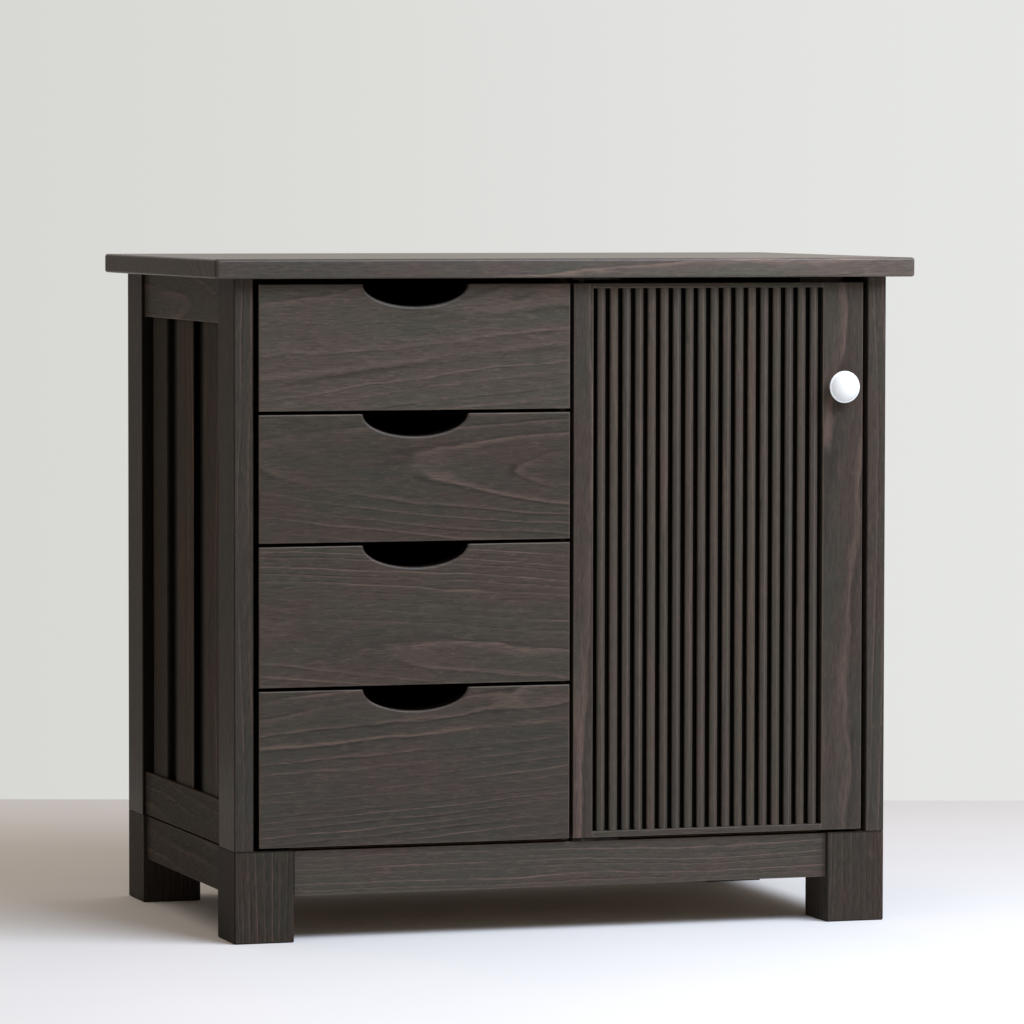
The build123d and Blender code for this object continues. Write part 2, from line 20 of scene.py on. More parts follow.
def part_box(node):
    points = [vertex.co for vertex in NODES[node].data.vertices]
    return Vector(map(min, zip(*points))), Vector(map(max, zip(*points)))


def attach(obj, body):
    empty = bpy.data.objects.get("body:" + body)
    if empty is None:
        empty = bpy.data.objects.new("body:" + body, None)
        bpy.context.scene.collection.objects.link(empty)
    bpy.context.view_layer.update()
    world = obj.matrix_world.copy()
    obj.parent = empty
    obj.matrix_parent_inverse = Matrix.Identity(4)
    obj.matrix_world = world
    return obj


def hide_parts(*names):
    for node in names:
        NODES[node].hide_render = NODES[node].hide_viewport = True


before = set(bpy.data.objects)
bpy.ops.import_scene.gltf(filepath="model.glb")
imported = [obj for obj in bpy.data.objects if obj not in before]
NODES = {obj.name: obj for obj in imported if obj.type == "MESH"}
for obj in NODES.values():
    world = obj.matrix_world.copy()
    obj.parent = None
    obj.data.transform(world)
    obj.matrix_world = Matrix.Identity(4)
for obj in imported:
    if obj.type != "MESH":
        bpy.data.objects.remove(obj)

logging.basicConfig(level=logging.INFO, format="%(message)s")
LOG = logging.getLogger("chest")

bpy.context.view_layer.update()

Colour = tuple[float, float, float]
Triple = tuple[float, float, float]
Pair = tuple[float, float]
Part = bpy.types.Object
Socket = bpy.types.NodeSocket


# ---- node trees
@dataclass(frozen=True)
class Grain:
    """What a noise is like.

    Attributes:
        scale: its clouds to the metre.
        detail: how many finer layers it has.
        roughness: how strong the finer layers are.
        along: how fast it changes along the first axis, against the other two.
    """

    scale: float
    detail: float = 2.0
    roughness: float = 0.5
    along: float = 1.0


class Sheet:
    """A node tree being written, with short calls that add a node and link what goes into it."""

    def __init__(self, tree: bpy.types.NodeTree) -> None:
        """Starts on an emptied tree."""
        self.tree = tree
        tree.nodes.clear()

    def fill(self, socket: Socket, value: Any) -> None:
        """Links a socket to another one, or sets its number, vector or colour."""
        if isinstance(value, Socket):
            self.tree.links.new(value, socket)
        else:
            socket.default_value = value

    def place(self) -> Socket:
        """Adds the object coordinates, in metres."""
        return self.node("TexCoord").outputs["Object"]

    def node(self, kind: str, inputs: dict[Any, Any] | None = None, **settings: Any) -> bpy.types.Node:
        """Adds one node.

        Args:
            kind: the node's type name without its leading "ShaderNode".
            inputs: what goes into each input, by name or number.
            settings: the node's own properties.

        Returns:
            The node.
        """
        made = self.tree.nodes.new("ShaderNode" + kind)
        for key, value in settings.items():
            setattr(made, key, value)
        for key, value in (inputs or {}).items():
            self.fill(made.inputs[key], value)
        return made

    def math(self, operation: str, *values: Any) -> Socket:
        """Adds one sum on plain numbers, by its name, such as ADD, and gives its answer."""
        return self.node("Math", dict(enumerate(values)), operation=operation).outputs[0]

    def times(self, first: Any, *others: Any) -> Socket:
        """Multiplies plain numbers, from left to right."""
        for other in others:
            first = self.math("MULTIPLY", first, other)
        return first

    def vector(self, operation: str, *values: Any, output: int = 0) -> Socket:
        """Adds one sum on vectors and gives its vector, or its number where output is 1."""
        return self.node("VectorMath", dict(enumerate(values)), operation=operation).outputs[output]

    def scaled(self, vector: Any, by: Any) -> Socket:
        """Multiplies a vector or a colour, axis by axis."""
        return self.vector("MULTIPLY", vector, by)

    def ease(self, value: Any, low: float, high: float, start: float = 0.0, end: float = 1.0) -> Socket:
        """Takes the answer smoothly from start to end while the value goes from low to high."""
        terms = {"Value": value, "From Min": low, "From Max": high, "To Min": start, "To Max": end}
        return self.node("MapRange", terms, interpolation_type="SMOOTHSTEP").outputs["Result"]

    def ridge(self, value: Any, rise: Pair, fall: Pair) -> Socket:
        """Takes a value from 0 to 1 over the rise and back to 0 over the fall."""
        return self.times(self.ease(value, *rise), self.ease(value, *fall, 1.0, 0.0))

    def noise(self, place: Any, grain: Grain, output: str = "Fac") -> Socket:
        """Adds soft noise.

        Args:
            place: the vector's socket, in metres.
            grain: what the noise is like.
            output: "Fac" for one number, "Color" for three that are independent of each other.

        Returns:
            The noise's socket.
        """
        if grain.along != 1.0:
            place = self.scaled(place, (grain.along, 1.0, 1.0))
        terms = {"Vector": place, "Scale": grain.scale, "Detail": grain.detail, "Roughness": grain.roughness}
        return self.node("TexNoise", terms).outputs[output]

    def chance(self, index: Any) -> Socket:
        """Gives each number a random number from 0 to 1."""
        return self.node("TexWhiteNoise", {"W": index}, noise_dimensions="1D").outputs[0]

    def bump(self, height: Any, strength: float, distance: float) -> Socket:
        """Tilts the surface's normal by a height, whose 0 to 1 is the distance in metres."""
        return self.node("Bump", {"Strength": strength, "Distance": distance, "Height": height}).outputs[0]

    def surface(self, inputs: dict[str, Any]) -> None:
        """Adds the surface's shader, with these inputs, and the output."""
        shader = self.node("BsdfPrincipled", inputs)
        self.node("OutputMaterial", {0: shader.outputs[0]})

    def blend(self, factor: Any, first: Any, second: Any) -> Socket:
        """Mixes two colours.

        Args:
            factor: 0 gives the first and 1 the second.
            first: a colour or a socket.
            second: a colour or a socket.

        Returns:
            The mixed colour's socket.
        """
        made = self.tree.nodes.new("ShaderNodeMix")
        made.data_type = "RGBA"
        terms = {"Factor_Float": factor, "A_Color": first, "B_Color": second}
        for socket in made.inputs:
            value = terms.get(socket.identifier)
            if value is not None:
                self.fill(socket, (*value, 1.0) if isinstance(value, tuple) else value)
        return next(s for s in made.outputs if s.identifier == "Result_Color")


def new_material(name: str) -> tuple[bpy.types.Material, Sheet]:
    """Makes an empty material of this name and gives it with its node tree."""
    made = bpy.data.materials.new(name)
    made.use_nodes = True
    return made, Sheet(made.node_tree)


def coat(node: Part, material: bpy.types.Material) -> None:
    """Puts one material on a part in place of its own."""
    node.data.materials.clear()
    node.data.materials.append(material)


def linked(name: str, data: Any) -> Part:
    """Makes an object of a mesh, a light or a camera, in the scene."""
    made = bpy.data.objects.new(name, data)
    bpy.context.scene.collection.objects.link(made)
    return made


# ---- wood
class Lie(Enum):
    """How a board lies, by its grain's axis and its face's.

    The numbers are the axes along its grain, across its face and through its thickness.
    """

    X_FACE_Y = (0, 2, 1)
    X_FACE_Z = (0, 1, 2)
    Y_FACE_X = (1, 2, 0)
    Y_FACE_Z = (1, 0, 2)
    Z_FACE_X = (2, 1, 0)
    Z_FACE_Y = (2, 0, 1)


@dataclass(frozen=True)
class Board:
    """Where one board was cut from its log.

    Attributes:
        lie: how the board lies.
        heart: the log's heart from the part's middle, across the face and through the thickness.
        lean: degrees that the log leans through the board's thickness and in its face.
        shift: how far along the log the board was cut.
        ring: the usual distance between rings, or None for the finish's own.
        strips: where equal strips start across the face and how wide each is, or None.
        tone: how light this board's colour is, against the finish's own colour.
    """

    lie: Lie
    heart: Pair = (0.03, 0.075)
    lean: Pair = (1.2, 0.8)
    shift: float = 0.0
    ring: float | None = None
    strips: Pair | None = None
    tone: float = 1.0


@dataclass(frozen=True)
class PaintedShading:
    """A band of painted shade over a hollow, a face or an edge, or of painted light where its depth is below
    0.

    Attributes:
        axis: the axis that goes into it, as a number.
        start: the place on it where the darkening starts.
        end: the place where it is full.
        depth: how much of the colour its painted shade takes away, below 0 where it paints light instead.
    """

    axis: int
    start: float
    end: float
    depth: float

    @classmethod
    def by(cls, axis: int, face: float, span: Pair, depth: float) -> "PaintedShading":
        """Measures the band by how far along the axis from a face it starts and is full."""
        return cls(axis, face + span[0], face + span[1], depth)


# The noises of the wood: slow bends and short waves of the log, patches where its lines are
# strong, fibres, short flecks, and clouds of stain.
BEND = Grain(11.0, 2.0, 0.4, 0.28)
RIPPLE = Grain(85.0, 2.0, 0.5, 0.28)
PATCH = Grain(42.0, 3.0, 0.6, 0.15)
THREAD = Grain(900.0, 3.0, 0.7, 0.08)
FLECK = Grain(420.0, 3.0, 0.7, 0.20)
CLOUD = Grain(24.0, 4.0, 0.6, 0.35)

# How far the bends and waves move a ring, and how the rings' spacing drifts with the radius:
# changes to the metre, and by how many rings.
BEND_REACH = 0.022
RIPPLE_REACH = 0.0030
DRIFT_SCALE = 42.0
DRIFT_RINGS = 2.2

# Where in a ring, from 0 to 1, its lines and its late wood lie, as spans that they rise and fall in.
LIGHT_LINE = ((0.70, 0.94), (0.94, 1.0))
DARK_LINE = ((0.0, 0.05), (0.05, 0.22))
LATE_WOOD = (0.22, 1.0)

# What a noise or a chance counts for: from where to where it acts, and its answers if not 0 and 1.
LUCK_COUNTS = (0.20, 0.85, 0.14, 1.0)
PATCH_COUNTS = (0.39, 0.61, 0.14, 1.0)
CLOUD_COUNTS = (0.40, 0.60)
THREAD_COUNTS = (0.40, 0.72, 0.0, 0.55)
FLECK_COUNTS = (0.50, 0.72, 0.0, 0.24)
WEAR_AND_SHADING_COUNTS = (0.30, 0.62, 0.35, 1.0)
MIDDLING = (0.3, 0.7)

# How much of its colour the late wood and the dark line add.
LATE_STRENGTH = 0.06
DARK_STRENGTH = 0.75

# Strips: the tints between which each strip's own lies, how far apart in the log they were cut,
# where across a strip its painted highlight rises and falls, the chances over which it gets
# stronger, its least share, and how much of the colour is left in the painted shade at its far edge.
STRIP_TINTS = ((1.24, 1.12, 1.00), (0.80, 0.82, 0.80))
STRIP_SPREAD = 0.09
CREST_LINE = ((0.49, 0.56), (0.57, 0.64))
CREST_LUCK = (0.2, 0.9)
CREST_LEAST = 0.3
SEAM_LEFT = 0.10

# How far from an edge its wear and painted edge shading starts to fade and has faded out.
EDGE_REACH = (0.0003, 0.0013)

# The surface: how the fibres change its roughness, what fibres and lines add to its height, the
# strength and height of its relief, and its reflections.
POLISH_SPREAD = (-0.05, 0.06)
THREAD_HEIGHT = 0.7
LINE_HEIGHT = 0.5
RELIEF = (0.35, 0.00010)
LACQUER_INDEX = 1.45
COAT_ROUGHNESS = 0.24
WARM_SHEEN = (1.0, 0.91, 0.82, 1.0)


@dataclass(frozen=True)
class StainedWood:
    """Close-grained pale wood under a dark stain, which leaves thin light lines along its rings.

    Attributes:
        dark: the stain where the wood took most of it.
        body: the stain's usual colour.
        cool: the greyer colour that it drifts to in patches.
        line: the reddish light line along a ring.
        ring: the usual distance between rings.
        line_strength: how much the light lines show.
        wear_and_shading_colour: lighter for wear and a painted highlight on edges, near black for painted
            shade.
        wear_and_shading: how much an edge goes towards that colour.
        roughness: the dull satin of the finish.
        oil: how much of a thin, glossier coat of oil lies over it.
        gloss: the strength of the wood's own satin reflection.
        crest_highlight: how strong the painted highlight along the top of each strip is.
        seam_shade: where across a strip painted shade starts towards its far edge and where it
            is darkest, or None.
    """

    dark: Colour = (0.0165, 0.0128, 0.0102)
    body: Colour = (0.0450, 0.0340, 0.0283)
    cool: Colour = (0.0375, 0.0348, 0.0272)
    line: Colour = (0.122, 0.081, 0.065)
    ring: float = 0.0085
    line_strength: float = 0.75
    wear_and_shading_colour: Colour = (0.19, 0.145, 0.115)
    wear_and_shading: float = 0.45
    roughness: float = 0.58
    oil: float = 0.30
    gloss: float = 0.12
    crest_highlight: float = 0.0
    seam_shade: Pair | None = None

    def dress(self, node: Part, board: Board, painted_shading: PaintedShading | None = None) -> None:
        """Makes the wood of one board and puts it on its part.

        Args:
            node: the part's object, whose box gives the middle and the edges.
            board: the cut of this board.
            painted_shading: the band of painted shade on the part, lighter instead where its depth is below
                0, if any.
        """
        material, sheet = new_material("wood_" + node.name)
        place = sheet.place()
        local, log, chance, within = self.log(sheet, place, node, board)
        part, light, shade, strength = self.rings(sheet, log, board.ring or self.ring)
        thread, fleck, cloud = (sheet.noise(local, grain) for grain in (THREAD, FLECK, CLOUD))

        colour = sheet.blend(sheet.ease(cloud, *CLOUD_COUNTS), self.body, self.cool)
        colour = sheet.blend(sheet.times(sheet.ease(part, *LATE_WOOD), LATE_STRENGTH), colour, self.line)
        colour = sheet.blend(sheet.times(light, strength, self.line_strength), colour, self.line)
        colour = sheet.blend(sheet.times(shade, strength, DARK_STRENGTH), colour, self.dark)
        colour = sheet.blend(sheet.ease(thread, *THREAD_COUNTS), colour, self.dark)
        colour = sheet.blend(sheet.ease(fleck, *FLECK_COUNTS), colour, self.line)
        if board.strips:
            colour = self.strips(sheet, colour, chance, within)
        if board.tone != 1.0:
            colour = sheet.scaled(colour, (board.tone,) * 3)

        # Edge marks: wear and a painted highlight where the edge colour is lighter, painted shade where it
        # is near black.
        wear_and_shading_mask = self.edge(sheet, place, node, cloud)
        colour = sheet.blend(sheet.times(wear_and_shading_mask, self.wear_and_shading), colour, self.wear_and_shading_colour)
        gloss: Any = self.gloss
        # Painted shade: the band darkens the colour and dims the gloss, and paints light instead where its
        # depth is below 0.
        if painted_shading:
            into = sheet.node("SeparateXYZ", {0: place}).outputs[painted_shading.axis]
            low, high = sorted((painted_shading.start, painted_shading.end))
            ends = (1.0, 1.0 - painted_shading.depth) if painted_shading.end > painted_shading.start else (1.0 - painted_shading.depth, 1.0)
            left = sheet.ease(into, low, high, *ends)
            colour = sheet.scaled(colour, left)
            gloss = sheet.times(left, self.gloss)

        polish = sheet.ease(thread, *MIDDLING, *(self.roughness + step for step in POLISH_SPREAD))
        lines = sheet.times(sheet.math("SUBTRACT", light, shade), LINE_HEIGHT)
        height = sheet.math("ADD", sheet.times(thread, THREAD_HEIGHT), lines)
        sheet.surface(
            {
                "Base Color": colour,
                "Roughness": polish,
                "Normal": sheet.bump(height, *RELIEF),
                "IOR": LACQUER_INDEX,
                "Specular IOR Level": gloss,
                "Specular Tint": WARM_SHEEN,
                "Coat Weight": self.oil,
                "Coat Roughness": COAT_ROUGHNESS,
                "Coat IOR": LACQUER_INDEX,
            }
        )
        coat(node, material)

    def rings(self, sheet: Sheet, log: Any, spacing: float) -> tuple[Any, Any, Any, Any]:
        """Finds the log's rings and the lines in them.

        A ring is a shell round the log's heart, at a distance r from it once soft noise has bent
        the log. r over the spacing, with a slow drift added, counts the rings. The part of that
        count after its point gives the ring's lines, and a random number for each whole count
        says how strong they are.

        Args:
            sheet: the node tree.
            log: the log's coordinates, along it first.
            spacing: the usual distance between rings.

        Returns:
            How far through its ring a point is, its light line, its dark line and their strength.
        """
        bent = log
        for grain, reach in ((BEND, BEND_REACH), (RIPPLE, RIPPLE_REACH)):
            push = sheet.vector("SUBTRACT", sheet.noise(log, grain, "Color"), (0.5, 0.5, 0.5))
            bent = sheet.vector("ADD", bent, sheet.scaled(push, (0.0, reach, reach)))
        radius = sheet.vector("LENGTH", sheet.scaled(bent, (0.0, 1.0, 1.0)), output=1)
        terms = {"W": radius, "Scale": DRIFT_SCALE, "Detail": 1.0}
        drift = sheet.node("TexNoise", terms, noise_dimensions="1D").outputs[0]
        count = sheet.math("ADD", sheet.math("DIVIDE", radius, spacing), sheet.times(drift, DRIFT_RINGS))
        part = sheet.math("FRACT", count)
        luck = sheet.ease(sheet.chance(sheet.math("FLOOR", count)), *LUCK_COUNTS)
        strength = sheet.times(luck, sheet.ease(sheet.noise(log, PATCH), *PATCH_COUNTS))
        return part, sheet.ridge(part, *LIGHT_LINE), sheet.ridge(part, *DARK_LINE), strength

    def strips(self, sheet: Sheet, colour: Any, chance: Any, within: Any) -> Socket:
        """Gives each strip of a face its own tint, a painted highlight along it and painted shade at its far
        edge.

        Args:
            sheet: the node tree.
            colour: the wood's colour so far.
            chance: a random number for each strip.
            within: how far across its strip a point is, from 0 to 1.

        Returns:
            The colour's socket.
        """
        colour = sheet.scaled(colour, sheet.blend(chance, *STRIP_TINTS))
        # Painted highlight along the top of each strip.
        if self.crest_highlight:
            luck = sheet.ease(chance, *CREST_LUCK, CREST_LEAST * self.crest_highlight, self.crest_highlight)
            colour = sheet.blend(sheet.times(sheet.ridge(within, *CREST_LINE), luck), colour, self.wear_and_shading_colour)
        # Painted shade towards each strip's far edge.
        if self.seam_shade:
            colour = sheet.scaled(colour, sheet.ease(within, *self.seam_shade, 1.0, SEAM_LEFT))
        return colour

    def log(self, sheet: Sheet, place: Any, node: Part, board: Board) -> tuple[Any, Any, Any, Any]:
        """Turns the object coordinates into the board's and the log's own.

        Args:
            sheet: the node tree.
            place: the object coordinates.
            node: the part's object.
            board: the cut of this board.

        Returns:
            The board's coordinates (along, across, through), the log's, a random number for each
            strip, and how far across its strip a point is, both None on a board without strips.
        """
        low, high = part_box(node.name)
        middle = (low + high) / 2
        axes = board.lie.value
        apart = sheet.node("SeparateXYZ", {0: place}).outputs
        turned = sheet.node("CombineXYZ", {i: apart[axis] for i, axis in enumerate(axes)}).outputs[0]
        local = sheet.vector("SUBTRACT", turned, [middle[axis] for axis in axes])
        chance, within = None, None
        if board.strips:
            first, width = board.strips
            count = sheet.math("DIVIDE", sheet.math("SUBTRACT", apart[axes[1]], first), width)
            within = sheet.math("FRACT", count)
            chance = sheet.chance(sheet.math("FLOOR", count))
            away = sheet.node("CombineXYZ", {0: chance, 2: sheet.times(chance, STRIP_SPREAD)}).outputs[0]
            local = sheet.vector("ADD", local, away)
        lean = (0.0, math.radians(board.lean[0]), math.radians(board.lean[1]))
        terms = {"Vector": local, "Location": (board.shift, *board.heart), "Rotation": lean}
        log = sheet.node("Mapping", terms, vector_type="POINT").outputs[0]
        return sheet.vector("ADD", local, (board.shift, 0.0, 0.0)), log, chance, within

    def edge(self, sheet: Sheet, place: Any, node: Part, cloud: Any) -> Socket:
        """Finds the edges of the part's box.

        The distance to the nearer of two opposite faces is worked out on each axis, and an edge is
        where the second smallest of the three is small.

        Args:
            sheet: the node tree.
            place: the object coordinates.
            node: the part's object.
            cloud: noise that breaks the edge marks up.

        Returns:
            A number that is 1 on an edge and 0 away from it.
        """
        low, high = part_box(node.name)
        off = sheet.vector("ABSOLUTE", sheet.vector("SUBTRACT", place, (low + high) / 2))
        near = sheet.node("SeparateXYZ", {0: sheet.vector("SUBTRACT", (high - low) / 2, off)}).outputs
        lesser = sheet.math("MINIMUM", near[0], near[1])
        greater = sheet.math("MAXIMUM", near[0], near[1])
        second = sheet.math("MAXIMUM", lesser, sheet.math("MINIMUM", greater, near[2]))
        return sheet.times(sheet.ease(second, *EDGE_REACH, 1.0, 0.0), sheet.ease(cloud, *WEAR_AND_SHADING_COUNTS))


# ---- fittings' finishes
# Their noises: thick and thin glaze, specks in it, clouds of zinc, brush marks, the grain that a
# mould leaves, and slow changes of tone.
GLAZE = Grain(60.0, 3.0, 0.55)
SPECK = Grain(900.0, 1.0)
ZINC = Grain(180.0, 4.0, 0.6)
BRUSH = Grain(2600.0, along=0.06)
MOULD = Grain(3200.0, roughness=0.6)
TONE = Grain(120.0)
SPECK_COUNTS = (0.74, 0.80, 0.0, 0.25)


@dataclass(frozen=True)
class FittingFinish:
    """A small part's finish, whose tint, polish and relief each follow a noise.

    Attributes:
        main: its usual colour.
        other: the colour that it drifts to.
        noises: those of its tint, its polish and its relief.
        counts: what the noise of its tint counts for.
        roughness: its least and its greatest roughness.
        relief: the strength and the height of its relief.
        more: what else its surface has, by name.
        speck: the colour of its fine specks, or None.
    """

    main: Colour
    other: Colour
    noises: tuple[Grain, Grain, Grain]
    counts: Sequence[float]
    roughness: Pair
    relief: Pair
    more: tuple[tuple[str, float], ...] = ()
    speck: Colour | None = None

    def dress(self, name: str) -> bpy.types.Material:
        """Makes the finish, as a material of this name."""
        material, sheet = new_material(name)
        place = sheet.place()
        made = {grain: sheet.noise(place, grain) for grain in dict.fromkeys(self.noises)}
        tint, polish, marks = (made[grain] for grain in self.noises)
        colour = sheet.blend(sheet.ease(tint, *self.counts), self.main, self.other)
        if self.speck:
            speck = sheet.ease(sheet.noise(place, SPECK), *SPECK_COUNTS)
            colour = sheet.blend(speck, colour, self.speck)
        surface = {
            "Base Color": colour,
            "Roughness": sheet.ease(polish, *MIDDLING, *self.roughness),
            "Normal": sheet.bump(marks, *self.relief),
        }
        sheet.surface({**surface, **dict(self.more)})
        return material


# White glazed stoneware, smooth and glossy over a faintly uneven body.
CERAMIC = FittingFinish(
    main=(0.80, 0.81, 0.81),
    other=(0.80, 0.79, 0.76),
    noises=(GLAZE, GLAZE, GLAZE),
    counts=(0.42, 0.75, 0.0, 0.35),
    roughness=(0.16, 0.22),
    relief=(0.2, 0.0003),
    more=(("IOR", 1.52), ("Coat Weight", 0.5), ("Coat Roughness", 0.06)),
    speck=(0.45, 0.43, 0.40),
)

# Plain steel with a thin zinc coat, brushed and a little clouded, and the same nearly black.
STEEL = FittingFinish(
    main=(0.56, 0.56, 0.54),
    other=(0.34, 0.34, 0.33),
    noises=(ZINC, ZINC, BRUSH),
    counts=(0.35, 0.70),
    roughness=(0.28, 0.45),
    relief=(0.25, 0.00005),
    more=(("Metallic", 1.0),),
)
DARK_STEEL = replace(STEEL, main=(0.030, 0.027, 0.025), other=(0.012, 0.011, 0.010))

# Moulded plastic with a fine spark-eroded grain, nearly black as painted shade so the catch is lost in the
# dark gap.
PLASTIC = FittingFinish(
    main=(0.012, 0.011, 0.0105),
    other=(0.018, 0.0165, 0.0155),
    noises=(TONE, MOULD, MOULD),
    counts=MIDDLING,
    roughness=(0.42, 0.58),
    relief=(0.4, 0.00006),
)


# ---- surfaces
# Points nearer to each other than this are one point, in metres.
WELD = 1e-7

# The height of a quarter circle over its chord, against its radius.
QUARTER_BULGE = 0.29


def arc(start: Sequence[float], end: Sequence[float], bulge: float, count: int) -> np.ndarray:
    """Draws a circular arc in a section's plane.

    With the chord c from start to end, its left-hand normal n and the arc's height h over the
    chord, the circle has radius r = (c^2 / 4 + h^2) / 2h and its middle lies at chord middle +
    n (h - r). The arc's points are that middle + r (n cos a + c sin a / |c|), a from -a0 to a0.

    Args:
        start: the first point.
        end: the last point.
        bulge: the arc's height over its chord, to the left of the way from start to end.
        count: how many points.

    Returns:
        The points, count by two.
    """
    first, last = np.asarray(start, float), np.asarray(end, float)
    chord = last - first
    length = float(np.hypot(*chord))
    along = chord / length
    normal = np.array((-along[1], along[0]))
    radius = (length**2 / 4 + bulge**2) / (2 * bulge)
    middle = (first + last) / 2 + normal * (bulge - radius)
    widest = math.asin(min(1.0, length / 2 / abs(radius)))
    angle = np.linspace(-widest, widest, count)[:, None]
    return middle + radius * normal * np.cos(angle) + abs(radius) * along * np.sin(angle)


def place_mesh(name: str, grids: np.ndarray, body: str) -> Part:
    """Puts equal grids, closed round their rows, into one mesh of four-sided faces.

    The face at row i and column j of a grid joins (i, j), (i, j + 1), (i + 1, j + 1) and
    (i + 1, j), and the last column joins the first.

    Args:
        name: the piece's name.
        grids: copies by rows by columns by three, in the part's frame.
        body: the body that the piece moves with.

    Returns:
        The piece's object, at the origin.
    """
    copies, rows, columns = grids.shape[:3]
    counts = (np.arange(number) for number in (copies, rows - 1, columns))
    copy, row, column = np.meshgrid(*counts, indexing="ij")
    start, beside = (copy * rows + row) * columns, (column + 1) % columns
    corners = [start + column, start + beside, start + columns + beside, start + columns + column]
    mesh = bpy.data.meshes.new(name)
    faces = np.stack(corners, axis=-1).reshape(-1, 4)
    mesh.from_pydata(grids.reshape(-1, 3).tolist(), [], faces.tolist())
    work = bmesh.new()
    work.from_mesh(mesh)
    bmesh.ops.remove_doubles(work, verts=work.verts, dist=WELD)
    bmesh.ops.recalc_face_normals(work, faces=work.faces)
    work.to_mesh(mesh)
    work.free()
    mesh.polygons.foreach_set("use_smooth", np.ones(len(mesh.polygons), bool))
    made = linked(name, mesh)
    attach(made, body)
    return made


def clusters(values: np.ndarray, gap: float = 0.005) -> np.ndarray:
    """Finds the middle of each run of numbers that lies more than a gap from the next, in order."""
    ordered = np.sort(values)
    runs = np.split(ordered, np.flatnonzero(np.diff(ordered) > gap) + 1)
    return np.array([(run[0] + run[-1]) / 2 for run in runs])


# ---- the chest
# The outside finish: its lighter edges are partly wear and partly a painted highlight on the arrises.
OUTSIDE = StainedWood()
# Painted shade: near-black edges on the feet and front posts for the shadow in the narrow gaps at their
# joints.
PAINTED_SHADE_EDGES = replace(OUTSIDE, wear_and_shading_colour=(0.007, 0.005, 0.004), wear_and_shading=0.85)
SHELTERED = replace(OUTSIDE, oil=0.05, gloss=0.05, wear_and_shading=0.25)
# The reeds carry a painted highlight along each crest.
REEDED = replace(OUTSIDE, gloss=0.40, line_strength=0.35, wear_and_shading=0.0, oil=0.15, crest_highlight=0.30)
INSIDE = StainedWood(
    dark=(0.028, 0.019, 0.014),
    body=(0.075, 0.051, 0.035),
    cool=(0.064, 0.048, 0.035),
    line=(0.135, 0.086, 0.056),
    wear_and_shading=0.15,
    roughness=0.66,
    oil=0.0,
)
PLY = StainedWood(
    ring=0.016, body=(0.035, 0.026, 0.021), cool=(0.031, 0.025, 0.021), roughness=0.66, wear_and_shading=0.1, oil=0.0
)
SHADED_PLY = replace(
    PLY,
    dark=(0.003, 0.0025, 0.002),
    body=(0.006, 0.005, 0.004),
    cool=(0.005, 0.0045, 0.004),
    line=(0.012, 0.009, 0.007),
)
LIGHT_PLY = replace(
    PLY,
    dark=(0.15, 0.10, 0.06),
    body=(0.33, 0.23, 0.14),
    cool=(0.29, 0.215, 0.14),
    line=(0.42, 0.30, 0.19),
)
PEG = StainedWood(
    dark=(0.32, 0.19, 0.09),
    body=(0.59, 0.41, 0.23),
    cool=(0.54, 0.39, 0.23),
    line=(0.70, 0.51, 0.31),
    wear_and_shading_colour=(0.64, 0.46, 0.28),
    roughness=0.62,
    oil=0.0,
)

# How far from each other along the log the two parts of a pair were cut.
PAIR_STEP = 0.31


def dress_all(finish: StainedWood, boards: dict[str, Board], painted_shadings: dict[str, PaintedShading] | None = None) -> None:
    """Gives each of several parts its own board.

    Args:
        finish: the finish that they share.
        boards: the cut of each part, by node name.
        painted_shadings: the band of painted shade on a part, lighter instead where its depth is below 0, by
            node name.
    """
    for name, board in boards.items():
        finish.dress(NODES[name], board, (painted_shadings or {}).get(name))
    LOG.info("dressed %s", ", ".join(boards))


def pair(name: str, board: Board, right_tone: float | None = None) -> dict[str, Board]:
    """Cuts a pair's two parts apart in the log, the right one with its own tone if it has one."""
    right = replace(board, shift=board.shift + PAIR_STEP, tone=right_tone or board.tone)
    return {name + "_left": board, name + "_right": right}


